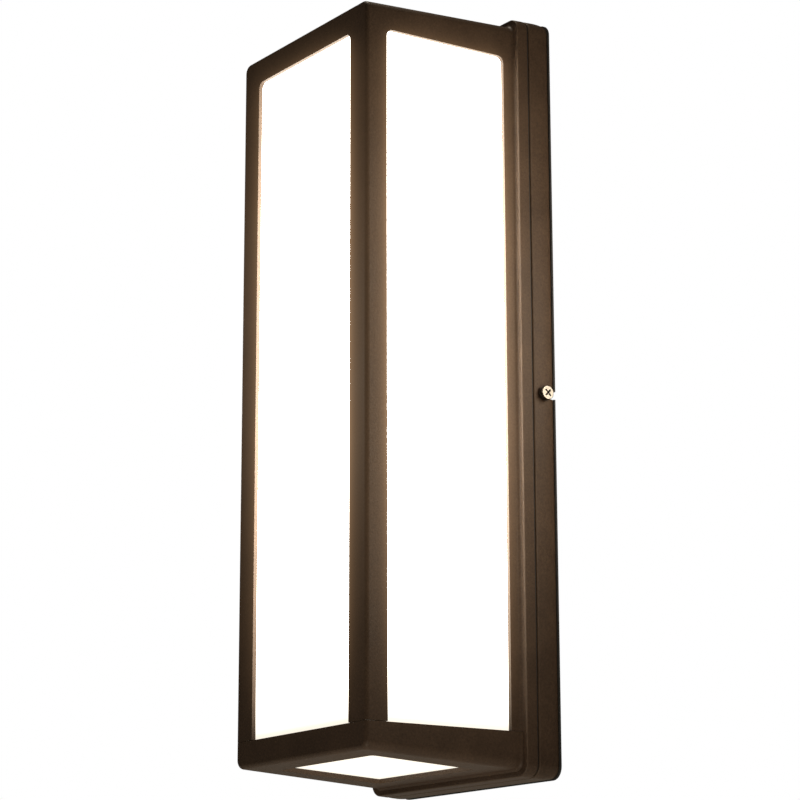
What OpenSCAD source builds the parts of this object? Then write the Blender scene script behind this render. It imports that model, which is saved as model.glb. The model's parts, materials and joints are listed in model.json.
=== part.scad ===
// Outdoor wall lantern: a drafted cast cage with opal panels on a shallow pan, which drops
// over a steel wall plate and is held by two side screws.
// Millimetres. The wall is the plane y = 0, the lantern stands out along -Y, and +Z is up.

/* [Back pan] */
// Width of the pan where it meets the wall
pan_w = 155.6; // [140:0.2:180]
// Height of the pan where it meets the wall
pan_h = 457.2; // [420:0.2:520]
// Corner radius of the pan and collar, seen from the front
pan_r = 8; // [5:0.5:12]
// Depth of the pan, from the wall to the shadow gap
pan_d = 15.4; // [15:0.1:20]
// Wall thickness of the pan
pan_wall = 3; // [2.5:0.5:3.5]

/* [Lantern body] */
// How far the lantern stands out from the wall
extension = 127; // [120:1:150]
// Width of the front face
front_w = 133.2; // [124:0.2:140]
// Height of the front face
front_h = 435.6; // [400:0.2:480]
// Corner radius of the body, seen from the front
body_r = 5.5; // [4:0.5:8]
// Radius of the edge between the front face and the sides
front_edge_r = 2.5; // [1:0.5:3]
// Casting draft, in degrees, on every side of the pan, collar and body
draft = 3; // [2:0.25:4]
// Wall thickness of the cage
cage_wall = 2.6; // [2:0.1:3.2]
// Depth of the collar where the cage meets the pan
collar_d = 7; // [6:0.5:9]
// Shadow gap between the collar and the pan
shadow_gap = 1.4; // [1:0.1:2]

/* [Windows] */
// Half the width of the front window
front_window_x = 49.5; // [46:0.5:52]
// Top edge of the front and side windows
window_top = 201.5; // [190:0.5:205]
// Bottom edge of the front and side windows, where the bottom frame starts
window_bottom = -202; // [-205:1:-190]
// Front edge of the side windows
side_window_front = -113; // [-116:0.5:-109]
// Back edge of the side windows
side_window_back = -31; // [-40:0.5:-31]
// Corner radius of the windows
window_r = 4; // [2:0.5:5]
// Half the width of the bottom window
bottom_window_x = 47.5; // [44:0.5:51]
// Front edge of the bottom window
bottom_window_front = -109.5; // [-113:0.5:-106]
// Back edge of the bottom window
bottom_window_back = -39; // [-50:0.5:-39]

/* [Panels] */
// Thickness of the opal panels
panel_t = 3; // [2:0.5:3]
// Thickness of the seal between a panel and its frame
seal_t = 0.4; // [0.3:0.1:0.5]
// Width of the seal
seal_w = 4; // [3:0.5:5]

/* [Wall plate] */
// Width of the plate
plate_w = 136; // [120:1:136]
// Height of the plate
plate_h = 116; // [110:1:120]
// Thickness of the plate's steel
plate_t = 1.6; // [1.2:0.1:2]
// Distance of the side screws from the wall
screw_y = 8.8; // [7:0.1:8.8]
// Height of the side screws above the middle of the pan
screw_z = -5; // [-6:0.5:4]
// Hole-to-hole distance of the outlet-box slots
slot_spacing = 80; // [76:1:84]
// Length of a slot, end to end
slot_len = 19; // [12:1:21]

/* [Side screws] */
// Radius of the screw's shank
screw_r = 1.97; // [1.95:0.01:1.98]
// Radius of the screw's head
screw_head_r = 4.1; // [3.5:0.1:4.2]
// Thickness of the screw's head
screw_head_h = 2.5; // [2.4:0.1:3]
// Length of the shank under the head
screw_len = 14; // [12:0.5:15]
// Distance the washer stands off the pan
screw_stand_off = 1.2; // [1:0.1:2]
// Radius of the washer
washer_r = 4.4; // [4.2:0.1:5]
// Thickness of the washer
washer_t = 0.8; // [0.5:0.1:1]

/* [Light engine] */
// Half the width of the LED column
column_x = 22; // [20:0.5:24]
// Distance of the column's front face from the wall
column_front = 62; // [58:1:64]
// Height of the column
column_h = 380; // [370:2:386]
// Thickness of the column's sheet
sheet_t = 1.5; // [1:0.1:2]
// Width of the LED boards
board_w = 18; // [16:1:20]
// Thickness of the LED boards
board_t = 1.6; // [1:0.1:2]
// Distance from one LED to the next
led_pitch = 20; // [18:1:20]
// Height of the driver's case
driver_h = 120; // [100:1:120]

/* [Hidden] */

bronze = [0.20, 0.15, 0.11];
opal = [0.97, 0.96, 0.92];
zinc = [0.72, 0.74, 0.76];
nickel = [0.80, 0.78, 0.74];
rubber = [0.05, 0.05, 0.05];
foam = [0.10, 0.10, 0.10];
white_paint = [0.92, 0.92, 0.90];
solder_mask = [0.95, 0.95, 0.93];
phosphor = [0.95, 0.80, 0.30];
driver_white = [0.88, 0.88, 0.86];

$fn = 48;
eps = 0.01;
slope = tan(draft);
gasket_t = 1.2;                          // foam gasket between the pan and the wall
collar_back = -(pan_d + shadow_gap);
collar_front = collar_back - collar_d;
web_front = -pan_d;
web_back = -pan_d + pan_wall;
seam = 0.25;                             // joint between the cage and the bottom frame
rib_t = 1.6;                             // cast guide ribs that hold the panels
rib_reach = 2.5;                         // how far a rib stays back from a window's edge
rib_back = -extension + 10;              // back end of the ribs in the front corners
panel_lap = 7;                           // how far a panel passes a window's edge
cage_front_in = -extension + cage_wall;  // inner face of the front wall
panel_front_out = cage_front_in + seal_t;
panel_front_in = panel_front_out + panel_t;
panel_x = front_window_x + panel_lap;
panel_top = window_top + panel_lap;
panel_bottom = window_bottom - panel_lap;
side_panel_front = cage_front_in + 1.4;
side_panel_back = side_window_back + 2.5;
side_panel_len = (side_panel_back - side_panel_front) / cos(draft);
floor_panel_front = bottom_window_front - 4.2;
floor_panel_back = bottom_window_back + 6;
floor_panel_len = (floor_panel_back - floor_panel_front) / cos(draft);
machine_r = 2;                           // radius of an M4 threaded hole
machine_shank = 1.97;
clear_r = 2.25;                          // radius of an M4 clearance hole
head_r = 3.5;
head_h = 2.3;
cage_screw_x = front_w / 2 + 2;
cage_screw_zs = [-195, -75, 75, 195];
cage_screw_end_z = front_h / 2 - 0.3;
frame_screw = [38, 1 - front_h / 2];     // x and z of the bottom frame's screws
frame_lug_back = collar_back - 2.5;
column_screw_x = column_x + 6;
column_screw_zs = [-170, 0, 170];
board_h = 352;
board_screw_zs = [-170, -50, 50, 170];
led_count = 17;
side_board_y = -40;
lead_hole_z = -184;
driver_z = 30;                           // lower end of the driver's case
driver_x = 16;
driver_depth = 23;
driver_ear = 8;
grommet_r = 9;
tab_h = 28;                              // height of the plate's side tabs
tab_out = pan_w / 2 - 4.5;
tab_depth = 12;
bend_r = 2;                              // outer radius of the tabs' bends
pan_side_x = pan_w / 2 - screw_y * slope;  // pan's outer face at the side screws
washer_x = pan_side_x + screw_stand_off;
head_x = washer_x + washer_t;
nut_h = 3.2;

// Route of a driver lead, from the driver's end to the lower end of the front board.
lead_r = 0.9;
lead_route = [
  [3, -27, 30], [3, -27, 20], [3, -28, 5], [3, -31, -25], [3, -36, -60], [3, -41, -95],
  [2.8, -46, -128], [2.4, -50, -154], [2, -53, -170], [1.7, -57, -180], [1.5, -61, -184],
  [1.5, -65, -184], [1.7, -67.5, -181], [2, -67, -177], [2.2, -65.6, -174.5], [2.4, -64.6, -172]
];

function body_x(y) = front_w / 2 + (y + extension) * slope;
function body_z(y) = front_h / 2 + (y + extension) * slope;
function pan_x(y) = pan_w / 2 + y * slope;
function pan_z(y) = pan_h / 2 + y * slope;
function floor_z(y) = -body_z(y) + cage_wall;
function side_in(y) = body_x(y) - cage_wall;

// ---- shared shapes

module rounded_rect(hx, hz, r) {
  square([2 * (hx - r), 2 * hz], center = true);
  square([2 * hx, 2 * (hz - r)], center = true);
  for (sx = [-1, 1], sz = [-1, 1])
    translate([sx * (hx - r), sz * (hz - r)]) circle(r);
}

// A rounded rectangle seen from the front, from depth y forward by d.
module front_slab(y, d, hx, hz, r) {
  translate([0, y, 0]) rotate([90, 0, 0]) linear_extrude(d) rounded_rect(hx, hz, r);
}

module front_slice(y, hx, hz, r) {
  front_slab(y, eps, hx, hz, r);
}

// A ring seen from the front, with a constant width.
module front_ring(y, d, hx, hz, r, width) {
  difference() {
    front_slab(y, d, hx, hz, r);
    front_slab(y + 1, d + 2, hx - width, hz - width, max(r - width, 1));
  }
}

// Box from its two corners.
module span(a, b) {
  translate(a) cube(b - a);
}

module both_sides() {
  children();
  mirror([1, 0, 0]) children();
}

// A cylinder along Y, from depth y forward by d.
module rod_y(x, y, z, r, d) {
  translate([x, y, z]) rotate([90, 0, 0]) cylinder(r = r, h = d);
}

// A pan-head screw that points along +Y, with its head's seat at depth y.
module screw_y_in(x, y, z, len, r = machine_shank, hr = head_r, hh = head_h) {
  difference() {
    union() {
      rod_y(x, y + len, z, r, len);
      rod_y(x, y, z, hr, hh);
    }
    cross_recess(x, y - hh, z, hr);
  }
}

module cross_recess(x, y, z, hr) {
  depth = 0.6 * head_h;
  for (a = [45, -45])
    translate([x, y, z]) rotate([0, a, 0])
      translate([-0.55 * hr, -0.1, -0.11 * hr]) cube([1.1 * hr, depth, 0.22 * hr]);
}

// ---- wall side

module plate_slots() {
  for (s = [-1, 1]) {
    slot_through(s * slot_spacing / 2, 0, 0);
    slot_through(0, s * slot_spacing / 2, 90);
  }
}

module slot_through(x, z, turn) {
  slot_r = 2.4;
  run = slot_len / 2 - slot_r;
  translate([x, 0, z]) rotate([0, turn, 0]) {
    for (s = [-1, 1]) rod_y(s * run, 1, 0, slot_r, plate_t + 2);
    span([-run, -plate_t - 1, -slot_r], [run, 1, slot_r]);
  }
}

module plate_tab() {
  inner_r = bend_r - plate_t + 0.4;
  span([plate_w / 2 - 1, -plate_t, -tab_h / 2], [tab_out - bend_r, 0, tab_h / 2]);
  span([tab_out - plate_t, -tab_depth, -tab_h / 2], [tab_out, -bend_r, tab_h / 2]);
  difference() {
    translate([tab_out - bend_r, -bend_r, -tab_h / 2]) cylinder(r = bend_r, h = tab_h);
    span([tab_out - 3 * bend_r, -bend_r - 3, -tab_h], [tab_out - plate_t, -plate_t, tab_h]);
  }
}

module mounting_plate() {
  color(zinc) difference() {
    union() {
      front_slab(0, plate_t, plate_w / 2, plate_h / 2, 4);
      both_sides() plate_tab();
    }
    rod_y(0, 1, 0, 14, plate_t + 2);
    rod_y(30, 1, 40, machine_r, plate_t + 2);
    plate_slots();
    both_sides() translate([tab_out + 1, -screw_y, screw_z]) rotate([0, -90, 0])
      cylinder(r = machine_r + 0.05, h = plate_t + 2);
  }
}

module flange_nuts() {
  color(zinc) both_sides() translate([tab_out - plate_t, -screw_y, screw_z]) rotate([0, -90, 0])
    difference() {
      cylinder(r = 3.7, h = nut_h, $fn = 6);
      translate([0, 0, -1]) cylinder(r = machine_r + 0.02, h = nut_h + 2);
    }
}

module ground_screw() {
  color("green") screw_y_in(30, -3.4, 40, 3.4, machine_shank, 3.9, 2.4);
}

// ---- pan

module pan_outside() {
  edge = 0.7;
  hull() {
    front_slice(-gasket_t, pan_x(-gasket_t), pan_z(-gasket_t), pan_r);
    front_slice(web_front + edge + eps, pan_x(web_front + edge), pan_z(web_front + edge), pan_r);
    front_slice(web_front + 0.3 * edge + eps, pan_x(web_front) - 0.3 * edge,
                pan_z(web_front) - 0.3 * edge, pan_r - 0.3 * edge);
    front_slice(web_front + eps, pan_x(web_front) - edge, pan_z(web_front) - edge, pan_r - edge);
  }
}

module pan_recess() {
  r = pan_r - pan_wall;
  hull() {
    front_slice(web_back + eps, pan_x(web_back) - pan_wall, pan_z(web_back) - pan_wall, r);
    front_slice(1, pan_x(1) - pan_wall, pan_z(1) - pan_wall, r);
  }
}

// Slot in the pan's side wall, open towards the wall, that passes over a side screw.
module side_screw_slot() {
  slot_r = 2.4;
  reach = 12;
  translate([pan_w / 2 - reach + 2, 0, screw_z]) {
    translate([0, -screw_y, 0]) rotate([0, 90, 0]) cylinder(r = slot_r, h = reach);
    span([0, -screw_y, -slot_r], [reach, 1, slot_r]);
  }
}

module at_cage_screws() {
  for (z = cage_screw_zs, s = [-1, 1]) translate([s * cage_screw_x, 0, z]) children();
  for (s = [-1, 1]) translate([0, 0, s * cage_screw_end_z]) children();
}

module at_column_screws() {
  for (z = column_screw_zs, s = [-1, 1]) translate([s * column_screw_x, 0, z]) children();
}

module at_driver_screws() {
  for (z = [driver_z - driver_ear / 2, driver_z + driver_h + driver_ear / 2])
    translate([0, 0, z]) children();
}

module back_pan() {
  color(bronze) difference() {
    pan_outside();
    pan_recess();
    both_sides() side_screw_slot();
    at_cage_screws() rod_y(0, 0, 0, clear_r, 30);
    at_column_screws() rod_y(0, 0, 0, machine_r, 30);
    at_driver_screws() rod_y(0, 0, 0, machine_r, 30);
    rod_y(0, 0, 0, grommet_r, 30);
  }
}

module wall_gasket() {
  color(foam) difference() {
    front_ring(0, gasket_t, pan_w / 2 - 0.4, pan_h / 2 - 0.4, pan_r - 0.4, 2.4);
    both_sides() side_screw_slot();
  }
}

module pan_gasket() {
  inset = 1.2;
  color(rubber) front_ring(web_front, shadow_gap, pan_x(web_front) - inset,
                           pan_z(web_front) - inset, pan_r - inset, 3.7);
}

module wire_grommet() {
  lip = 2.5;
  bore = 6.5;
  color(rubber) translate([0, web_back + sheet_t, 0]) rotate([90, 0, 0]) difference() {
    union() {
      cylinder(r = grommet_r - 0.02, h = pan_wall + 2 * sheet_t);
      cylinder(r = grommet_r + lip, h = sheet_t);
      translate([0, 0, pan_wall + sheet_t]) cylinder(r = grommet_r + lip, h = sheet_t);
    }
    translate([0, 0, -1]) cylinder(r = bore, h = 20);
  }
}

// ---- cage

// Outer shape of the drafted body, with a rounded front edge.
module body_outside() {
  hull() {
    front_slice(collar_front + 4, body_x(collar_front + 4), body_z(collar_front + 4), body_r);
    for (a = [0 : 15 : 90]) {
      y = -extension + front_edge_r * (1 - sin(a));
      inset = front_edge_r * (1 - cos(a));
      front_slice(y + eps, body_x(y) - inset, body_z(y) - inset, body_r - inset);
    }
  }
}

module body_inside() {
  r = body_r - cage_wall;
  hull() {
    front_slice(cage_front_in + eps, side_in(cage_front_in), body_z(cage_front_in) - cage_wall, r);
    front_slice(collar_back + 1, side_in(collar_back + 1), body_z(collar_back + 1) - cage_wall, r);
  }
}

module collar() {
  edge = 0.8;
  hull() {
    front_slice(collar_back, pan_x(collar_back), pan_z(collar_back), pan_r);
    front_slice(collar_front + edge + eps, pan_x(collar_front), pan_z(collar_front), pan_r);
    front_slice(collar_front + 0.3 * edge + eps, pan_x(collar_front) - 0.3 * edge,
                pan_z(collar_front) - 0.3 * edge, pan_r - 0.3 * edge);
    front_slice(collar_front + eps, pan_x(collar_front) - edge, pan_z(collar_front) - edge,
                pan_r - edge);
  }
}

// Blend between the body's sides and the collar's front face, in two chamfers.
module collar_blend() {
  for (step = [[2.6, 0.5, 0], [1.1, 2, 0.5]]) {
    far = collar_front - step[0];
    hull() {
      front_slice(far + eps, body_x(far) + step[2], body_z(far) + step[2], body_r + step[2]);
      front_slice(collar_front + 1, body_x(collar_front) + step[1], body_z(collar_front) + step[1],
                  body_r + step[1]);
    }
  }
}

// The space below the windows, in front of the collar, where the bottom frame goes.
module bottom_frame_space(top) {
  span([-100, -extension - 10, -300], [100, collar_front, top]);
}

module front_window(bottom) {
  half = (window_top - bottom) / 2;
  translate([0, 0, bottom + half])
    front_slab(cage_front_in + 1, cage_wall + 3, front_window_x, half, window_r);
}

module side_windows(bottom) {
  half_y = (side_window_back - side_window_front) / 2;
  half_z = (window_top - bottom) / 2;
  translate([-100, side_window_front + half_y, bottom + half_z])
    rotate([90, 0, 90]) linear_extrude(200) rounded_rect(half_y, half_z, window_r);
}

// L-shaped rib in a front corner: it keeps the front panel back and the side panel out.
module front_corner_rib(low, high) {
  span([panel_x + 0.3, cage_front_in - 0.5, low], [panel_x + 0.3 + rib_t, rib_back, high]);
  span([front_window_x + 2, panel_front_in + 0.3, low],
       [panel_x + 0.3 + rib_t, panel_front_in + 0.3 + rib_t, high]);
}

// L-shaped rib in a back corner: a stop behind the side panel and a guide inside it.
module back_corner_rib(low, high) {
  stop_y = side_panel_back + 1;
  guide_x = side_in(side_window_back) - seal_t - panel_t - 0.3 - rib_t;
  span([guide_x, stop_y, low], [body_x(-26) - 1.2, stop_y + 2, high]);
  span([guide_x, stop_y - 5, low], [guide_x + rib_t, stop_y + 2, high]);
}

// Rib beside the edge of a side panel, between the depths a and b. It runs from the height
// z_in to a sloping edge in the roof's or the floor's thickness, given by side = 1 or -1.
module side_rib(a, b, z_in, side) {
  inner = side_in(a) - seal_t - panel_t - 0.3 - rib_t;
  translate([inner, a, 0]) rotate([0, 0, -draft]) rotate([90, 0, 90]) linear_extrude(rib_t)
    polygon([[0, z_in], [b - a, z_in], [b - a, side * (body_z(b) - 1.2)], [0, side * (body_z(a) - 1.2)]]);
}

module panel_end_ribs(z_in, z_front, side) {
  span([-panel_x - 1, panel_front_in + 0.3, min(z_in, z_front)],
       [panel_x + 1, panel_front_in + 0.3 + rib_t, max(z_in, z_front)]);
  both_sides() side_rib(rib_back, collar_front - 8, z_in, side);
}

module cage_bosses() {
  at_cage_screws() rod_y(0, collar_back, 0, 4.5, collar_d - 0.3);
  both_sides() rod_y(frame_screw[0], frame_lug_back, frame_screw[1], 4.2, collar_front * -1 + frame_lug_back);
}

module cage_frame() {
  rib_low = window_bottom + 0.1;
  color(bronze) difference() {
    union() {
      difference() {
        union() {
          body_outside();
          collar();
          collar_blend();
        }
        body_inside();
      }
      both_sides() front_corner_rib(rib_low, body_z(-124) - 1.2);
      both_sides() back_corner_rib(rib_low, body_z(-30) - 1.2);
      panel_end_ribs(window_top + rib_reach, body_z(-122) - 1.2, 1);
      cage_bosses();
    }
    bottom_frame_space(window_bottom);
    front_window(window_bottom - 20);
    side_windows(window_bottom - 20);
    at_cage_screws() rod_y(0, collar_back + 1, 0, machine_r, 6.5);
    both_sides() rod_y(frame_screw[0], 0, frame_screw[1], clear_r, 40);
  }
}

module bottom_frame() {
  top = window_bottom - seam;
  rib_high = window_bottom - rib_reach;
  color(bronze) difference() {
    union() {
      difference() {
        intersection() {
          body_outside();
          span([-100, -extension - 10, -300], [100, collar_front - 0.2, top]);
        }
        body_inside();
      }
      panel_end_ribs(rib_high, -body_z(-122) + 1.2, -1);
      both_sides() span([front_window_x + 1, panel_front_in + 2.2, -body_z(-122) + 1.2],
                        [panel_x - 0.2, panel_front_in + 4.4, window_bottom + 10]);
      both_sides() rod_y(frame_screw[0], collar_front - 0.2, frame_screw[1], 4.2, 8.8);
    }
    both_sides() rod_y(frame_screw[0], collar_front + 1, frame_screw[1], machine_r, 9);
    bottom_window();
  }
}

module bottom_window() {
  half_y = (bottom_window_back - bottom_window_front) / 2;
  translate([0, bottom_window_front + half_y, -body_z(collar_front) - 2])
    linear_extrude(cage_wall + 9) rounded_rect(bottom_window_x, half_y, 2.5);
}

module bottom_frame_screws() {
  color(zinc) both_sides() screw_y_out(frame_screw[0], frame_lug_back, frame_screw[1], 12);
}

// A pan-head screw that points along -Y, with its head's seat at depth y.
module screw_y_out(x, y, z, len) {
  translate([0, 2 * y, 0]) mirror([0, 1, 0]) screw_y_in(x, y, z, len);
}

module cage_screws() {
  color(zinc) at_cage_screws() screw_y_out(0, web_back, 0, 9.5);
}

// ---- panels

module front_panel() {
  color(opal) span([-panel_x, panel_front_out, panel_bottom], [panel_x, panel_front_in, panel_top]);
}

// A sheet parallel to the right-hand side wall, off its inner face by gap.
module side_sheet(y, len, low, high, gap, thick) {
  translate([side_in(y) - gap, y, low]) rotate([0, 0, -draft])
    translate([-thick, 0, 0]) cube([thick, len, high - low]);
}

module right_panel() {
  color(opal) side_sheet(side_panel_front, side_panel_len, panel_bottom, panel_top, seal_t, panel_t);
}

module left_panel() {
  mirror([1, 0, 0]) right_panel();
}

// A sheet that lies on the sloping floor, raised off it by gap.
module floor_sheet(y, len, half_x, gap, thick) {
  translate([0, y, floor_z(y) + gap]) rotate([-draft, 0, 0])
    translate([-half_x, 0, 0]) cube([2 * half_x, len, thick]);
}

module bottom_panel() {
  color(opal) floor_sheet(floor_panel_front, floor_panel_len, panel_x - 1, seal_t, panel_t);
}

module front_seal() {
  inner_x = front_window_x + 1.5;
  difference() {
    span([-inner_x - seal_w, cage_front_in, panel_bottom + 1], [inner_x + seal_w, panel_front_out, panel_top - 1]);
    span([-inner_x, cage_front_in - 1, window_bottom - 1.5], [inner_x, panel_front_out + 1, window_top + 1.5]);
  }
}

module right_seal() {
  y = side_window_front - 1.5 - seal_w;
  len = (side_window_back + 2 - y) / cos(draft);
  difference() {
    side_sheet(y, len, panel_bottom + 1, panel_top - 1, 0.02, seal_t - 0.04);
    side_sheet(y + seal_w, len - seal_w - 1, window_bottom - 1.5, window_top + 1.5, -1, 3);
  }
}

module floor_seal() {
  half_x = bottom_window_x + 1.2 + seal_w;
  difference() {
    floor_sheet(bottom_window_front - 3.9, floor_panel_len - 0.6, half_x, 0.02, seal_t - 0.04);
    floor_sheet(bottom_window_front - 1.4, bottom_window_back - bottom_window_front + 2.8,
                half_x - seal_w, -1, 3);
  }
}

module panel_seals() {
  color(rubber) {
    front_seal();
    both_sides() right_seal();
    floor_seal();
  }
}

// ---- light engine

module led_column() {
  half = column_h / 2;
  front = -column_front;
  color(white_paint) difference() {
    union() {
      span([-column_x, front, -half], [column_x, front + sheet_t, half]);
      both_sides() span([column_x - sheet_t, front, -half], [column_x, web_front, half]);
      both_sides() span([column_x - sheet_t, web_front - sheet_t, -half], [column_x + 12, web_front, half]);
    }
    at_column_screws() rod_y(0, 0, 0, clear_r, 30);
    rod_y(0, front + 5, lead_hole_z, 3.6, 10);
    at_board_screws() rod_y(0, 5, 0, 1.27, 10);
  }
}

module column_end_caps() {
  half = column_h / 2;
  color(white_paint) for (s = [0, 1]) mirror([0, 0, s]) {
    span([-column_x + sheet_t, -column_front + sheet_t, half - sheet_t],
         [column_x - sheet_t, web_front - 0.1, half]);
    span([-12, -column_front + sheet_t, half - 5], [12, -column_front + 2 * sheet_t, half - sheet_t]);
  }
}

module column_screws() {
  color(zinc) at_column_screws() screw_y_in(0, web_front - sheet_t, 0, 5.4);
}

// Places its children, which are drawn for a board whose back is the plane y = 0 and which
// faces -Y, on the front, the right-hand or the left-hand face of the column.
module on_face(face) {
  if (face == "front") translate([0, -column_front, 0]) children();
  if (face == "right") translate([column_x, side_board_y, 0]) rotate([0, 0, 90]) children();
  if (face == "left") translate([-column_x, side_board_y, 0]) rotate([0, 0, -90]) children();
}

module at_board_screws() {
  for (face = ["front", "right", "left"], z = board_screw_zs)
    on_face(face) translate([0, 0, z]) children();
}

module led_board(face) {
  color(solder_mask) on_face(face) difference() {
    span([-board_w / 2, -board_t, -board_h / 2], [board_w / 2, 0, board_h / 2]);
    for (z = board_screw_zs) rod_y(0, 1, z, 1.5, board_t + 2);
  }
}

module led_row(face) {
  color(phosphor) on_face(face) for (i = [0 : led_count - 1])
    translate([0, -board_t - 0.4, (i - (led_count - 1) / 2) * led_pitch])
      cube([2.8, 0.8, 3.5], center = true);
}

module board_screws() {
  color(zinc) at_board_screws() screw_y_in(0, -board_t, 0, 4, 1.25, 2.4, 1.5);
}

module led_driver() {
  top = driver_z + driver_h;
  color(driver_white) difference() {
    union() {
      span([-driver_x, web_front - driver_depth, driver_z], [driver_x, web_front, top]);
      span([-driver_x + 4, web_front - 2.5, driver_z - driver_ear],
           [driver_x - 4, web_front, top + driver_ear]);
    }
    at_driver_screws() rod_y(0, 0, 0, clear_r, 30);
  }
}

module driver_screws() {
  color(zinc) at_driver_screws() screw_y_in(0, web_front - 2.5, 0, 6.4);
}

// A smooth route through the points: each stretch is a Catmull-Rom curve in steps.
function curve_point(a, b, c, d, t) =
  0.5 * (2 * b + (c - a) * t + (2 * a - 5 * b + 4 * c - d) * t * t + (3 * b - a - 3 * c + d) * t * t * t);
function smooth_route(p, steps) = let (last = len(p) - 1) [
  for (i = [0 : last - 1], k = [0 : steps - 1])
    curve_point(p[max(i - 1, 0)], p[i], p[i + 1], p[min(i + 2, last)], k / steps),
  p[last]
];
function unit(v) = v / norm(v);

// A round tube along a route that stays close to a plane of constant x.
module tube(route, r, sides = 8) {
  last = len(route) - 1;
  rings = [for (i = [0 : last])
    let (
      t = unit(route[min(i + 1, last)] - route[max(i - 1, 0)]),
      u = unit([1, 0, 0] - t[0] * t),
      v = cross(t, u)
    )
    for (k = [0 : sides - 1]) route[i] + r * (cos(360 * k / sides) * u + sin(360 * k / sides) * v)
  ];
  sleeve = [for (i = [0 : last - 1], k = [0 : sides - 1])
    let (n = (k + 1) % sides, a = i * sides, b = a + sides)
    each [[a + k, b + k, b + n], [a + k, b + n, a + n]]
  ];
  start = [for (k = [0 : sides - 1]) k];
  end = [for (k = [sides - 1 : -1 : 0]) last * sides + k];
  polyhedron(rings, concat(sleeve, [start], [end]));
}

module driver_lead(side) {
  tube(smooth_route([for (p = lead_route) [side * p[0], p[1], p[2]]], 3), lead_r);
}

// ---- side screws

// A pan head: a disc with a rounded outer edge, along +X from x = 0.
module pan_head(r, h) {
  edge = 1.1;
  profile = concat(
    [[0, 0], [r, 0], [r, h - edge]],
    [for (a = [15 : 15 : 90]) [r - edge + edge * cos(a), h - edge + edge * sin(a)]],
    [[0, h]]
  );
  rotate([0, 90, 0]) rotate_extrude() polygon(profile);
}

module side_screw() {
  color(nickel) translate([head_x, -screw_y, screw_z]) difference() {
    union() {
      pan_head(screw_head_r, screw_head_h);
      translate([-screw_len, 0, 0]) rotate([0, 90, 0]) cylinder(r = screw_r, h = screw_len + 0.5);
    }
    for (a = [45, -45])
      translate([screw_head_h, 0, 0]) rotate([a, 0, 0])
        translate([-1.7, -2.1, -0.45]) cube([3, 4.2, 0.9]);
  }
}

module side_screw_washer() {
  color(nickel) translate([washer_x, -screw_y, screw_z]) rotate([0, 90, 0]) difference() {
    cylinder(r = washer_r, h = washer_t - 0.01);
    translate([0, 0, -1]) cylinder(r = screw_r + 0.06, h = washer_t + 2);
  }
}

mounting_plate();
flange_nuts();
ground_screw();
back_pan();
wall_gasket();
pan_gasket();
wire_grommet();
cage_frame();
bottom_frame();
bottom_frame_screws();
cage_screws();
front_panel();
left_panel();
right_panel();
bottom_panel();
panel_seals();
led_column();
column_end_caps();
column_screws();
led_board("front");  // front_led_board
led_board("left");  // left_led_board
led_board("right");  // right_led_board
led_row("front");  // front_leds
led_row("left");  // left_leds
led_row("right");  // right_leds
board_screws();
led_driver();
driver_screws();
color("red") driver_lead(1);  // red_driver_lead
color("black") driver_lead(-1);  // black_driver_lead
mirror([1, 0, 0]) side_screw();  // left_screw
side_screw();  // right_screw
mirror([1, 0, 0]) side_screw_washer();  // left_screw_washer
side_screw_washer();  // right_screw_washer
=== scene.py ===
"""Looks of the outdoor wall lantern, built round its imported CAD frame. Lengths are in metres."""

import json
import math

import bmesh
import bpy
from mathutils import Matrix, Vector


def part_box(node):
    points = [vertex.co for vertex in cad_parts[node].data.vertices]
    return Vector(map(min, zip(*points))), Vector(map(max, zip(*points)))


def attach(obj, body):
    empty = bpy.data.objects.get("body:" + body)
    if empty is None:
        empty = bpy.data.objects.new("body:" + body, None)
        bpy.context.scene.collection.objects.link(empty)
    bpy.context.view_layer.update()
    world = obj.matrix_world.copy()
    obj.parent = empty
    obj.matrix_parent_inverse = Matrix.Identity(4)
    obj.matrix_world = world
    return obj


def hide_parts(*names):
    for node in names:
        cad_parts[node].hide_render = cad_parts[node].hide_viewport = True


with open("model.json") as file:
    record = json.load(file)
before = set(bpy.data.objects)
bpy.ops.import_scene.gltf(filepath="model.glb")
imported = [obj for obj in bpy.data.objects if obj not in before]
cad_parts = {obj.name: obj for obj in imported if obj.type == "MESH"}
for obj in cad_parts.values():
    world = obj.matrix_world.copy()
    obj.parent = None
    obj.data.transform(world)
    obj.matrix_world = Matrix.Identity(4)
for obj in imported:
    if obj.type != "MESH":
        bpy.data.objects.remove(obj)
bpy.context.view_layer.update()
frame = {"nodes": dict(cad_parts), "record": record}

MM = 0.001
RECORD = frame["record"]
SLOT_OF = {part["node"]: part["material_slot"] for part in RECORD["subparts"]}
BODY_OF = {node: body for body, nodes in RECORD["behaviour"]["bodies"].items() for node in nodes}

# Sizes of the castings that their boxes don't give.
SLOPE = math.tan(math.radians(3))   # draft of every side
PAN_R = 8 * MM                      # corner radius of the pan and collar
BODY_R = 5.5 * MM                   # corner radius of the body
FRONT_R = 2.5 * MM                  # edge round the front face
CAGE_WALL = 2.6 * MM
PAN_WALL = 3 * MM
PAN_INSET = PAN_WALL + 0.6 * MM     # from the pan's outside to its recess
COLLAR_DEPTH = 7 * MM
COLLAR_EDGE = 0.7 * MM              # round along the collar's front edge
PAN_EDGE = 0.9 * MM                 # round along the pan's front edge
PAN_BACK_DEPTH = 9 * MM             # how far from the wall the pan starts to round in
PAN_BACK_INSET = 1.6 * MM           # how far it rounds in at the wall
BLEND_R = 2 * MM                    # hollow round between the body and the collar
LIP_R = 0.5 * MM                    # round along every cut edge of the cage and bottom frame
PAN_LIP_R = 0.4 * MM                # the same on the pan
CORNER_STEPS = 10                   # points along a quarter of a corner

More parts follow.
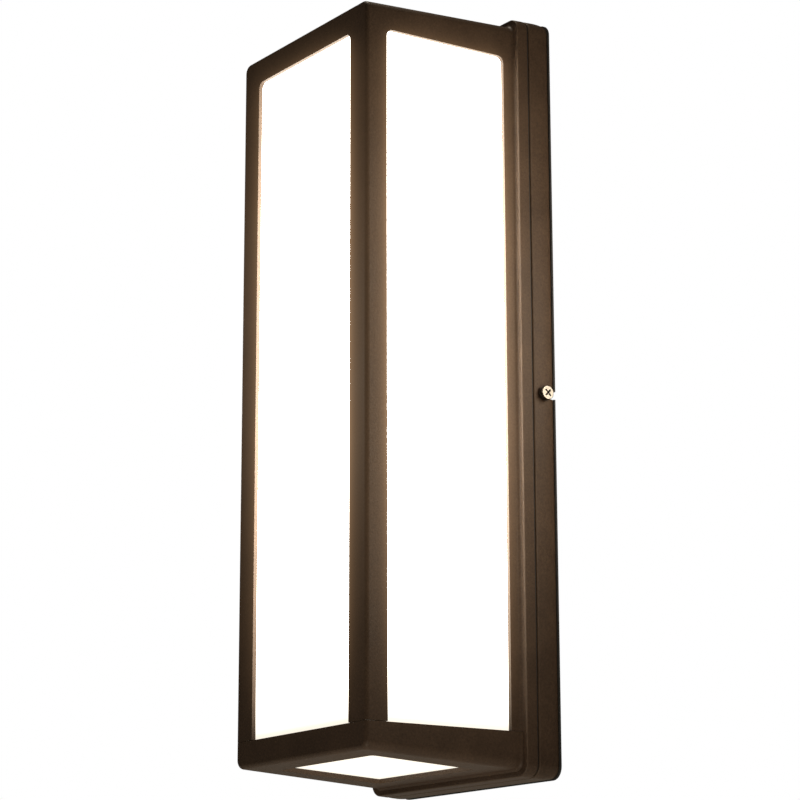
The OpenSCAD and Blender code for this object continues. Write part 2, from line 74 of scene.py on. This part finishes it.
# Windows: half widths, or spans of depth (y), and heights (z).
WINDOW_X = 49.5 * MM
WINDOW_TOP = 201.5 * MM
WINDOW_BOTTOM = -202 * MM           # also where the cage ends and the bottom frame starts
WINDOW_R = 4 * MM
SIDE_WINDOW = (-113 * MM, -31 * MM)
FLOOR_WINDOW = (-109.5 * MM, -39 * MM)
FLOOR_WINDOW_X = 47.5 * MM
FLOOR_WINDOW_R = 2.5 * MM
FLOOR_WINDOW_CUT = (-0.3, -0.205)   # heights that the cut through the floor spans

# Joints and holes.
SEAM = 0.25 * MM                    # gap between the cage and the bottom frame
BASE_GAP = 0.2 * MM                 # gap between the bottom frame and the collar
GROMMET_HOLE_R = 9 * MM
SCREW_SLOT_R = 2.4 * MM

# Side screws.
SCREW_HEAD = 2.5 * MM               # depth of the head
SCREW_HEAD_EDGE = 0.3 * MM          # round at the top of the head
SCREW_HEAD_FOOT = 0.15 * MM         # bevel under the head
SCREW_SHANK_R = 2.05 * MM
SCREW_PITCH = 0.794 * MM
SCREW_PLAIN = 1 * MM                # plain shank between the thread and the head
RECESS_REACH = 2.7 * MM             # half the length of each slot of the cross
RECESS_DEPTH = 2.0 * MM
RECESS_HALF = (0.40 * MM, 0.55 * MM)  # half the slots' width at the bottom and at the top

pan_low, pan_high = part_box("back_pan")
cage_low, cage_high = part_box("cage_frame")
base_low, base_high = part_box("bottom_frame")
grommet_low, grommet_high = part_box("wire_grommet")

COLLAR_BACK = cage_high.y
COLLAR_FRONT = COLLAR_BACK - COLLAR_DEPTH
FRONT = cage_low.y
FRONT_INSIDE = FRONT + CAGE_WALL


def pan_half(y):
    """Half the width and height of the pan and collar at depth y."""
    grow = (y - pan_high.y) * SLOPE
    return pan_high.x + grow, pan_high.z + grow


def body_half(y):
    """Half the width and height of the drafted body at depth y."""
    grow = (y - base_high.y) * SLOPE
    return base_high.x + grow, -base_low.z + grow


# ---------------------------------------------------------------- mesh helpers

def ring(y, half, radius, inset=0.0):
    """Rounded rectangle seen from the front, at depth y, drawn in by inset."""
    half_x, half_z, r = half[0] - inset, half[1] - inset, radius - inset
    points = []
    for quarter, (sx, sz) in enumerate(((1, 1), (-1, 1), (-1, -1), (1, -1))):
        for i in range(CORNER_STEPS + 1):
            a = math.pi / 2 * (quarter + i / CORNER_STEPS)
            x, z = sx * (half_x - r) + r * math.cos(a), sz * (half_z - r) + r * math.sin(a)
            points.append(Vector((x, y, z)))
    return points


def quarter_turn(steps):
    """Angles of a quarter turn, from 0 to 90 degrees."""
    return [math.pi / 2 * i / steps for i in range(steps + 1)]


def loft(rings):
    """A closed mesh through rings of equally many points, with a flat cap on each end."""
    bm = bmesh.new()
    rows = [[bm.verts.new(p) for p in points] for points in rings]
    for a, b in zip(rows, rows[1:]):
        for i, j in zip(range(len(a)), [*range(1, len(a)), 0]):
            bm.faces.new((a[i], a[j], b[j], b[i]))
    bm.faces.new(rows[0])
    bm.faces.new(rows[-1])
    bmesh.ops.recalc_face_normals(bm, faces=bm.faces)
    mesh = bpy.data.meshes.new("loft")
    bm.to_mesh(mesh)
    bm.free()
    return mesh


def moved(mesh, matrix):
    mesh.transform(matrix)
    return mesh


def prism(outline, axis, start, end):
    """A prism along an axis from start to end; its outline is 2-D points in the other two axes."""
    across = [k for k in range(3) if k != axis]

    def placed(level):
        points = []
        for u, v in outline:
            p = Vector((0, 0, 0))
            p[across[0]], p[across[1]], p[axis] = u, v, level
            points.append(p)
        return points

    return loft([placed(start), placed(end)])


def rounded(u_low, u_high, v_low, v_high, r, steps=8):
    """Outline of a rounded rectangle."""
    points = []
    corners = ((u_high - r, v_high - r), (u_low + r, v_high - r),
               (u_low + r, v_low + r), (u_high - r, v_low + r))
    for quarter, (u, v) in enumerate(corners):
        for a in quarter_turn(steps):
            turn = a + math.pi / 2 * quarter
            points.append((u + r * math.cos(turn), v + r * math.sin(turn)))
    return points


def circle(u, v, r, steps=48):
    """Outline of a circle."""
    return [(u + r * math.cos(2 * math.pi * i / steps), v + r * math.sin(2 * math.pi * i / steps))
            for i in range(steps)]


def box_mesh(low, high):
    outline = [(high[0], high[1]), (low[0], high[1]), (low[0], low[1]), (high[0], low[1])]
    return prism(outline, 2, low[2], high[2])


def evaluated(obj):
    """The object's mesh with its modifiers applied; the object is deleted."""
    bpy.context.view_layer.update()
    mesh = bpy.data.meshes.new_from_object(obj.evaluated_get(bpy.context.evaluated_depsgraph_get()))
    bpy.data.objects.remove(obj)
    return mesh


def in_scene(mesh, name="temporary"):
    """An object in the scene with this mesh."""
    obj = bpy.data.objects.new(name, mesh)
    bpy.context.scene.collection.objects.link(obj)
    return obj


def combined(mesh, tool, operation):
    """Boolean of two meshes: DIFFERENCE, UNION or INTERSECT."""
    base, other = in_scene(mesh), in_scene(tool)
    step = base.modifiers.new("combine", "BOOLEAN")
    step.operation = operation
    step.solver = "EXACT"
    step.object = other
    out = evaluated(base)
    bpy.data.objects.remove(other)
    return out


def rounded_edges(mesh, radius, segments=3, angle=40):
    """The mesh with its sharp edges rounded."""
    obj = in_scene(mesh)
    step = obj.modifiers.new("edges", "BEVEL")
    step.width = radius
    step.segments = segments
    step.limit_method = "ANGLE"
    step.angle_limit = math.radians(angle)
    step.miter_outer = "MITER_ARC"
    return evaluated(obj)


def mark_wear_and_highlight(mesh, narrowest=0.35 * MM):
    """Set the edge mark to 1 on the points where only narrow faces meet, which lie along tight edges; it
    gives edge wear and a painted highlight.
    """
    bm = bmesh.new()
    bm.from_mesh(mesh)
    narrow = {face: face.calc_area() / max(edge.calc_length() for edge in face.edges) < narrowest
              for face in bm.faces}
    levels = [float(all(narrow[face] for face in vert.link_faces)) for vert in bm.verts]
    bm.free()
    mesh.attributes.new("wear_and_highlight", "FLOAT", "POINT").data.foreach_set("value", levels)


def smooth(piece):
    """Smooth shading that keeps flat faces flat."""
    piece.data.polygons.foreach_set("use_smooth", [True] * len(piece.data.polygons))
    step = piece.modifiers.new("normals", "WEIGHTED_NORMAL")
    step.keep_sharp = False
    step.weight = 80


def piece_for(node, mesh):
    """A new piece that stands for a CAD node, on the same body and with the same material slot."""
    mark_wear_and_highlight(mesh)
    piece = in_scene(mesh, node + ".look")
    smooth(piece)
    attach(piece, BODY_OF[node])
    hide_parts(node)
    paint(piece, SLOT_OF[node])


# ---------------------------------------------------------------- materials

class Shader:
    """A small wrapper that makes and links the nodes of one material."""

    def __init__(self, name):
        self.material = bpy.data.materials.new(name)
        self.material.use_nodes = True
        self.tree = self.material.node_tree
        self.bsdf = self.tree.nodes["Principled BSDF"]
        self.place = self.node("ShaderNodeTexCoord").outputs["Object"]

    def node(self, kind, **settings):
        made = self.tree.nodes.new(kind)
        for key, value in settings.items():
            setattr(made, key, value)
        return made

    def link(self, source, socket):
        """Feed a socket from another node's output, or set it to a number or colour."""
        if isinstance(source, (int, float)):
            socket.default_value = source
        elif isinstance(source, (tuple, list)):
            socket.default_value = tuple(source)
        else:
            self.tree.links.new(source, socket)

    def math(self, operation, a, b=0.0):
        made = self.node("ShaderNodeMath", operation=operation)
        self.link(a, made.inputs[0])
        self.link(b, made.inputs[1])
        return made.outputs[0]

    def noise(self, size, detail=2.0, rough=0.5, place=None):
        """Noise whose features are about size metres across."""
        made = self.node("ShaderNodeTexNoise")
        self.link(place or self.place, made.inputs["Vector"])
        made.inputs["Scale"].default_value = 1.0 / size
        made.inputs["Detail"].default_value = detail
        made.inputs["Roughness"].default_value = rough
        return made.outputs["Fac"]

    def ramp(self, value, low, high, to_low=0.0, to_high=1.0):
        """The value carried over from low..high to to_low..to_high, and held at its ends."""
        made = self.node("ShaderNodeMapRange", clamp=True)
        self.link(value, made.inputs["Value"])
        limits = {"From Min": low, "From Max": high, "To Min": to_low, "To Max": to_high}
        for name, number in limits.items():
            made.inputs[name].default_value = number
        return made.outputs["Result"]

    def mix(self, factor, a, b):
        """Colour a where the factor is 0 and b where it is 1. A Mix node's colours are sockets 6, 7 and 2."""
        made = self.node("ShaderNodeMix", data_type="RGBA")
        self.link(factor, made.inputs[0])
        self.link(a, made.inputs[6])
        self.link(b, made.inputs[7])
        return made.outputs[2]

    def scaled(self, colour, value):
        """The colour made darker or lighter by a value."""
        made = self.node("ShaderNodeVectorMath", operation="SCALE")
        self.link(colour, made.inputs[0])
        self.link(value, made.inputs["Scale"])
        return made.outputs[0]

    def bump(self, height, distance, after=None):
        """Relief of distance metres from a height of 0 to 1, on top of the normal of another bump."""
        made = self.node("ShaderNodeBump")
        self.link(height, made.inputs["Height"])
        made.inputs["Distance"].default_value = distance
        if after is not None:
            self.link(after, made.inputs["Normal"])
        return made.outputs["Normal"]

    def set(self, **sockets):
        """Set or feed the surface's sockets, named with _ for a space, and give back the material."""
        for key, value in sockets.items():
            self.link(value, self.bsdf.inputs[key.replace("_", " ")])
        return self.material


def bronze_coat():
    """Dark bronze powder coat: a fine pebbled skin, cloudy in tone, paler along tight edges as rubbed wear
    and a painted highlight.
    """
    s = Shader("bronze_coat")
    pebble = s.noise(1.2 * MM, 3.0, 0.6)
    fleck = s.noise(0.5 * MM, 1.0)
    cloud = s.noise(24 * MM, 3.0, 0.55)
    edge = s.node("ShaderNodeAttribute", attribute_name="wear_and_highlight").outputs["Fac"]
    tone = s.math("MULTIPLY", s.ramp(cloud, 0.3, 0.7, 0.85, 1.15),
                  s.ramp(pebble, 0.3, 0.7, 0.78, 1.22))
    # Paler colour along tight edges: part edge wear, part a painted highlight.
    worn_and_highlit = s.math("MULTIPLY", s.ramp(edge, 0.3, 1.0),
                  s.ramp(cloud, 0.3, 0.6, 0.25, 0.75))
    colour = s.mix(worn_and_highlit, s.scaled((0.064, 0.040, 0.0245), tone), (0.085, 0.058, 0.038, 1))
    rough = s.math("ADD", s.ramp(fleck, 0.2, 0.8, 0.42, 0.58),
                   s.ramp(cloud, 0.3, 0.7, -0.03, 0.03))
    skin = s.bump(fleck, 0.03 * MM, after=s.bump(pebble, 0.10 * MM))
    return s.set(Base_Color=colour, Roughness=rough, Specular_IOR_Level=0.25, Normal=skin)


def opal():
    """Lit opal acrylic: brightest round the middle height, dimmer and creamier towards its ends."""
    middle = 30 * MM
    s = Shader("opal_acrylic")
    haze = s.noise(35 * MM, 2.0)
    apart = s.node("ShaderNodeSeparateXYZ")
    s.link(s.place, apart.inputs[0])
    away = s.math("ABSOLUTE", s.math("SUBTRACT", apart.outputs["Z"], middle))
    lit = s.math("MULTIPLY", s.ramp(away, 0.07, 0.23, 1.0, 0.048),
                 s.ramp(haze, 0.3, 0.7, 0.97, 1.0))
    tint = s.mix(s.ramp(away, 0.05, 0.23), (1.0, 0.95, 0.86, 1), (1.0, 0.93, 0.81, 1))
    return s.set(Base_Color=(0.88, 0.86, 0.82, 1), Roughness=s.ramp(haze, 0.3, 0.7, 0.32, 0.40),
                 Emission_Color=s.scaled(tint, lit), Emission_Strength=20.0)


def plain(name, colour, rough, grain=0.8, relief=0.02, spread=0.06):
    """A plain finish with a fine grain in tone, gloss and relief; grain and relief are in millimetres."""
    s = Shader(name)
    speck = s.noise(grain * MM, 3.0, 0.6)
    smudge = s.noise(18 * MM, 2.0)
    tone = s.math("MULTIPLY", s.ramp(speck, 0.3, 0.7, 1 - spread * 2, 1 + spread),
                  s.ramp(smudge, 0.3, 0.7, 1 - spread, 1.0))
    return s.set(Base_Color=s.scaled(colour, tone),
                 Roughness=s.ramp(speck, 0.3, 0.7, rough - spread, rough + spread),
                 Normal=s.bump(speck, relief * MM))


def plated(name, colour, rough, painted_shade=None):
    """Plated metal with fine draw lines; given a dark colour of painted shade, it keeps the metal's colour
    only where the flat-face mark is 1.
    """
    s = Shader(name)
    stretch = s.node("ShaderNodeMapping")
    stretch.inputs["Scale"].default_value = (1.0, 1.0, 14.0)
    s.link(s.place, stretch.inputs["Vector"])
    lines = s.noise(2.5 * MM, 3.0, 0.6, stretch.outputs[0])
    spot = s.noise(5 * MM, 2.0)
    tone = s.math("MULTIPLY", s.ramp(lines, 0.3, 0.7, 0.88, 1.05),
                  s.ramp(spot, 0.3, 0.7, 0.93, 1.04))
    metal = s.scaled(colour, tone)
    # Painted shade: everything but the marked flat face takes the dark colour.
    if painted_shade:
        unshaded_face = s.node("ShaderNodeAttribute", attribute_name="unshaded_face").outputs["Fac"]
        metal = s.mix(unshaded_face, s.scaled(painted_shade, tone), metal)
    return s.set(Base_Color=metal, Metallic=1.0,
                 Roughness=s.ramp(lines, 0.3, 0.7, rough - 0.06, rough + 0.08),
                 Normal=s.bump(lines, 0.01 * MM))


MATERIALS = {
    "bronze_coat": bronze_coat(),
    "opal_acrylic": opal(),
    "black_rubber": plain("black_rubber", (0.018, 0.017, 0.016), 0.6),
    "foam": plain("foam", (0.03, 0.03, 0.03), 0.9, grain=0.6, relief=0.15),
    "zinc_steel": plated("zinc_steel", (0.36, 0.37, 0.39), 0.45),
    "green_steel": plated("green_steel", (0.05, 0.30, 0.10), 0.35),
    # Nickel: painted shade darkens everything but the screw heads' marked flat faces, such as the heads'
    # sides, shanks and cross recesses.
    "nickel_steel": plated("nickel_steel", (0.68, 0.63, 0.56), 0.32, painted_shade=(0.060, 0.050, 0.040)),
    "white_sheet": plain("white_sheet", (0.86, 0.86, 0.84), 0.45),
    "white_board": plain("white_board", (0.86, 0.87, 0.84), 0.35),
    "led_phosphor": plain("led_phosphor", (0.90, 0.66, 0.14), 0.3),
    "driver_case": plain("driver_case", (0.78, 0.78, 0.75), 0.5),
    "red_wire": plain("red_wire", (0.50, 0.03, 0.02), 0.4),
    "black_wire": plain("black_wire", (0.02, 0.02, 0.02), 0.4),
}


def paint(piece, slot):
    """Give a piece or CAD node the one material of its slot."""
    piece.data.materials.clear()
    piece.data.materials.append(MATERIALS[slot])


# ---------------------------------------------------------------- castings

def body_rings():
    """Outside of the body, from the collar's front face to the front face."""
    rings = []
    for a in reversed(quarter_turn(5)):
        y = COLLAR_FRONT - BLEND_R * (1 - math.sin(a))
        rings.append(ring(y, body_half(y), BODY_R, -BLEND_R * (1 - math.cos(a))))
    for a in quarter_turn(7):
        y = FRONT + FRONT_R * (1 - math.sin(a))
        rings.append(ring(y, body_half(y), BODY_R, FRONT_R * (1 - math.cos(a))))
    return rings


def collar_rings():
    """Outside of the collar, from its back face to its front face."""
    rings = [ring(COLLAR_BACK, pan_half(COLLAR_BACK), PAN_R)]
    for a in quarter_turn(5):
        y = COLLAR_FRONT + COLLAR_EDGE * (1 - math.sin(a))
        rings.append(ring(y, pan_half(y), PAN_R, COLLAR_EDGE * (1 - math.cos(a))))
    return rings


def inside_rings():
    """Inside of the body, from the front wall to the open back."""
    return [ring(y, body_half(y), BODY_R, CAGE_WALL) for y in (FRONT_INSIDE, COLLAR_BACK)]


def body_shell():
    """The body and collar as one open-backed shell, before the windows and the joint are cut."""
    return loft(inside_rings() + collar_rings() + body_rings())


def base_space(top):
    """The room of the bottom frame: everything under top, in front of the collar."""
    return box_mesh((-0.2, -0.2, -0.4), (0.2, COLLAR_FRONT, top))


def cage_windows():
    """Tools for the front window and the two side windows, which run on below the cage's lower end."""
    below = WINDOW_BOTTOM - 30 * MM
    front = rounded(-WINDOW_X, WINDOW_X, below, WINDOW_TOP, WINDOW_R)
    side = rounded(*SIDE_WINDOW, below, WINDOW_TOP, WINDOW_R)
    return prism(front, 1, FRONT_INSIDE + 2 * MM, FRONT - 5 * MM), prism(side, 0, -0.1, 0.1)


def cage_frame():
    """The cage: the shell less the bottom frame's room and the three windows."""
    mesh = combined(body_shell(), base_space(WINDOW_BOTTOM), "DIFFERENCE")
    for window in cage_windows():
        mesh = combined(mesh, window, "DIFFERENCE")
    piece_for("cage_frame", rounded_edges(mesh, LIP_R))


def bottom_frame():
    """The bottom frame: the part of the shell in its own room, less the floor window."""
    space = moved(base_space(WINDOW_BOTTOM - SEAM), Matrix.Translation((0, -BASE_GAP, 0)))
    mesh = combined(body_shell(), space, "INTERSECT")
    window = rounded(-FLOOR_WINDOW_X, FLOOR_WINDOW_X, *FLOOR_WINDOW, FLOOR_WINDOW_R)
    mesh = combined(mesh, prism(window, 2, *FLOOR_WINDOW_CUT), "DIFFERENCE")
    piece_for("bottom_frame", rounded_edges(mesh, LIP_R))


def back_pan():
    """The pan: an outside with a rounded back and front edge, and a recess towards the wall."""
    back, web_front, web_back = pan_high.y, pan_low.y, pan_low.y + PAN_WALL
    rings = [ring(y, pan_half(y), PAN_R, PAN_INSET) for y in (web_back, back)]
    for a in quarter_turn(10):
        y = back - PAN_BACK_DEPTH * (1 - math.cos(a))
        rings.append(ring(y, pan_half(y), PAN_R, PAN_BACK_INSET * (1 - math.sin(a))))
    for a in quarter_turn(5):
        y = web_front + PAN_EDGE * (1 - math.sin(a))
        rings.append(ring(y, pan_half(y), PAN_R, PAN_EDGE * (1 - math.cos(a))))
    mesh = loft(rings)
    grommet = (grommet_low + grommet_high) / 2
    hole = prism(circle(grommet.x, grommet.z, GROMMET_HOLE_R), 1, web_front - 1 * MM, web_back + 1 * MM)
    mesh = combined(mesh, hole, "DIFFERENCE")
    for screw in ("left_screw", "right_screw"):
        mesh = combined(mesh, screw_slot(screw), "DIFFERENCE")
    piece_for("back_pan", rounded_edges(mesh, PAN_LIP_R))


def screw_slot(screw):
    """Tool for a side screw's slot through the pan's side wall, open towards the wall."""
    low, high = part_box(screw)
    middle = (low + high) / 2
    r, past_wall = SCREW_SLOT_R, 5 * MM
    outline = [(middle.y + r * math.cos(a), middle.z + r * math.sin(a))
               for a in (math.pi / 2 + math.pi * i / 12 for i in range(13))]
    outline += [(past_wall, middle.z - r), (past_wall, middle.z + r)]
    side = math.copysign(1, middle.x)
    return prism(outline, 0, side * (pan_high.x - 12 * MM), side * (pan_high.x + 5 * MM))


# ---------------------------------------------------------------- side screws

def turned(profile, steps=48):
    """A body turned about the X axis from a profile of (x, radius) points."""
    return loft([[Vector((x, r * math.cos(2 * math.pi * i / steps), r * math.sin(2 * math.pi * i / steps)))
                  for i in range(steps)] for x, r in profile])


def cross_recess(top):
    """Tool for a cross recess from x = top, whose two slots narrow towards their bottom."""
    slim, wide = RECESS_HALF
    slots = []
    for turn in (45, 135):
        rings = []
        for x, u, v in ((top - RECESS_DEPTH, slim, RECESS_REACH * 0.8), (top + 0.3 * MM, wide, RECESS_REACH)):
            rings.append([Vector((x, u, v)), Vector((x, -u, v)), Vector((x, -u, -v)), Vector((x, u, -v))])
        slots.append(moved(loft(rings), Matrix.Rotation(math.radians(turn), 4, "X")))
    return combined(slots[0], slots[1], "UNION")


def thread_profile(start, end, radius, pitch):
    """Shank profile with a groove at every pitch, from start to end."""
    points = [(start, radius * 0.72)]
    x = start + pitch
    while x < end:
        points += [(x - pitch / 2, radius), (x, radius * 0.84)]
        x += pitch
    return points


def mark_unshaded_face(mesh, top):
    """Set the flat-face mark to 1 on the flat face at x = top; the rest of the screw is painted dark as
    shade.
    """
    levels = [float(v.co.x > top - 0.02 * MM) for v in mesh.vertices]
    mesh.attributes.new("unshaded_face", "FLOAT", "POINT").data.foreach_set("value", levels)


def side_screw(node):
    """A threaded pan-head screw in the box of a CAD screw, made along +X with its head outwards."""
    low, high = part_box(node)
    middle = (low + high) / 2
    length, head_r = high.x - low.x, (high.y - low.y) / 2
    neck = length - SCREW_HEAD
    profile = thread_profile(0, neck - SCREW_PLAIN, SCREW_SHANK_R, SCREW_PITCH)
    profile += [(neck, SCREW_SHANK_R), (neck, head_r - SCREW_HEAD_FOOT), (neck + SCREW_HEAD_FOOT, head_r)]
    for a in quarter_turn(8):
        x = length - SCREW_HEAD_EDGE * (1 - math.sin(a))
        profile.append((x, head_r - SCREW_HEAD_EDGE * (1 - math.cos(a))))
    mesh = combined(turned(profile), cross_recess(length), "DIFFERENCE")
    mesh = rounded_edges(mesh, 0.06 * MM, segments=2, angle=50)
    mark_unshaded_face(mesh, length)
    if middle.x > 0:
        place = Matrix.Translation((low.x, middle.y, middle.z))
    else:
        place = Matrix.Translation((high.x, middle.y, middle.z)) @ Matrix.Rotation(math.pi, 4, "Z")
    piece_for(node, moved(mesh, place))


# ---------------------------------------------------------------- stage, light and camera

def look_rotation(yaw, pitch, roll):
    """Rotation of a camera that looks along +Y, turned left by yaw, up by pitch, in degrees."""
    turn = Matrix.Rotation(math.radians(yaw), 4, "Z")
    lift = Matrix.Rotation(math.radians(90 + pitch), 4, "X")
    tip = Matrix.Rotation(math.radians(roll), 4, "Z")
    return turn @ lift @ tip


def make_camera():
    """The photograph's camera: from the front right, a little below the lantern."""
    place, yaw, pitch, roll = (1.22639, -0.92861, -0.37755), 54.583, 14.099, -0.134
    data = bpy.data.cameras.new("camera")
    data.sensor_width = 36
    data.lens = 116.97
    data.clip_start = 0.05
    data.clip_end = 50
    camera = bpy.data.objects.new("camera", data)
    camera.matrix_world = Matrix.Translation(place) @ look_rotation(yaw, pitch, roll)
    bpy.context.scene.collection.objects.link(camera)
    bpy.context.scene.camera = camera


def soft_light(name, at, towards, width, height, power, spread=120, colour=(1.0, 0.88, 0.72)):
    """A rectangular softbox of warm light at a place, facing another; the power is in watts."""
    data = bpy.data.lights.new(name, "AREA")
    data.shape = "RECTANGLE"
    data.size = width
    data.size_y = height
    data.energy = power
    data.color = colour
    data.spread = math.radians(spread)
    light = bpy.data.objects.new(name, data)
    light.location = at
    light.rotation_euler = (Vector(towards) - Vector(at)).to_track_quat("-Z", "Y").to_euler()
    light.visible_camera = False
    bpy.context.scene.collection.objects.link(light)


def make_lights():
    """Softboxes close to the lantern: its sides are brightest at mid-height, its corners stay dark."""
    soft_light("side_softbox", (0.24, -0.03, -0.07), (0.07, -0.06, -0.07), 0.10, 0.12, 0.080)
    soft_light("side_upper_softbox", (0.24, -0.03, 0.13), (0.07, -0.06, 0.13), 0.10, 0.10, 0.078)
    soft_light("wall_softbox", (0.23, 0.03, 0.05), (0.07, -0.03, 0.05), 0.10, 0.12, 0.110)
    soft_light("front_softbox", (-0.15, -0.34, 0.06), (0, -0.12, 0.06), 0.12, 0.16, 0.095)
    soft_light("left_softbox", (-0.26, -0.05, 0.05), (-0.07, -0.06, 0.05), 0.10, 0.16, 0.13)
    soft_light("low_softbox", (0.20, -0.20, -0.48), (0, -0.07, -0.22), 0.15, 0.15, 0.085, spread=90)
    soft_light("floor_softbox", (0, 0, -1.1), (0, 0, -2), 14, 14, 240.0, spread=160)
    soft_light("top_softbox", (0, -0.06, 0.62), (0, -0.06, 0.22), 0.15, 0.15, 0.25, spread=90)
    soft_light("back_softbox", (-0.05, 0.50, 0.05), (0, 0, 0), 0.2, 0.2, 0.50)


def make_world():
    """White behind the lantern, and a dim warm room all round it."""
    world = bpy.data.worlds.new("studio")
    bpy.context.scene.world = world
    world.use_nodes = True
    tree = world.node_tree
    tree.nodes.clear()
    seen = tree.nodes.new("ShaderNodeBackground")
    seen.inputs["Color"].default_value = (1, 1, 1, 1)
    fill = tree.nodes.new("ShaderNodeBackground")
    fill.inputs["Color"].default_value = (1.0, 0.93, 0.85, 1)
    fill.inputs["Strength"].default_value = 0.05
    path = tree.nodes.new("ShaderNodeLightPath")
    mix = tree.nodes.new("ShaderNodeMixShader")
    out = tree.nodes.new("ShaderNodeOutputWorld")
    tree.links.new(path.outputs["Is Camera Ray"], mix.inputs[0])
    tree.links.new(fill.outputs[0], mix.inputs[1])
    tree.links.new(seen.outputs[0], mix.inputs[2])
    tree.links.new(mix.outputs[0], out.inputs["Surface"])


def make_floor():
    """A pale floor well below the lantern."""
    height, half = -1.7, 8.0
    floor = in_scene(bpy.data.meshes.new("floor"), "floor")
    corners = [(-half, -half, height), (half, -half, height), (half, half, height), (-half, half, height)]
    floor.data.from_pydata(corners, [], [(0, 1, 2, 3)])
    s = Shader("pale_floor")
    tone = s.ramp(s.noise(60 * MM, 3.0), 0.3, 0.7, 0.97, 1.0)
    floor.data.materials.append(s.set(Base_Color=s.scaled((0.80, 0.79, 0.77), tone), Roughness=0.8))


def make_glow():
    """The brown glow that the lit panels leave round themselves in a photograph."""
    look = {"Threshold": 1.2, "Strength": 0.045, "Size": 0.06, "Tint": (1.0, 0.62, 0.36, 1.0)}
    bpy.context.scene.use_nodes = True
    tree = bpy.context.scene.node_tree
    tree.nodes.clear()
    picture = tree.nodes.new("CompositorNodeRLayers")
    glow = tree.nodes.new("CompositorNodeGlare")
    glow.glare_type = "BLOOM"
    glow.quality = "HIGH"
    for name, value in look.items():
        glow.inputs[name].default_value = value
    out = tree.nodes.new("CompositorNodeComposite")
    tree.links.new(picture.outputs["Image"], glow.inputs["Image"])
    tree.links.new(glow.outputs["Image"], out.inputs["Image"])


for name, node in frame["nodes"].items():
    paint(node, SLOT_OF[name])
cage_frame()
bottom_frame()
back_pan()
for screw in ("left_screw", "right_screw"):
    side_screw(screw)

make_camera()
make_lights()
make_world()
make_floor()
make_glow()
bpy.context.scene.view_settings.view_transform = "Standard"
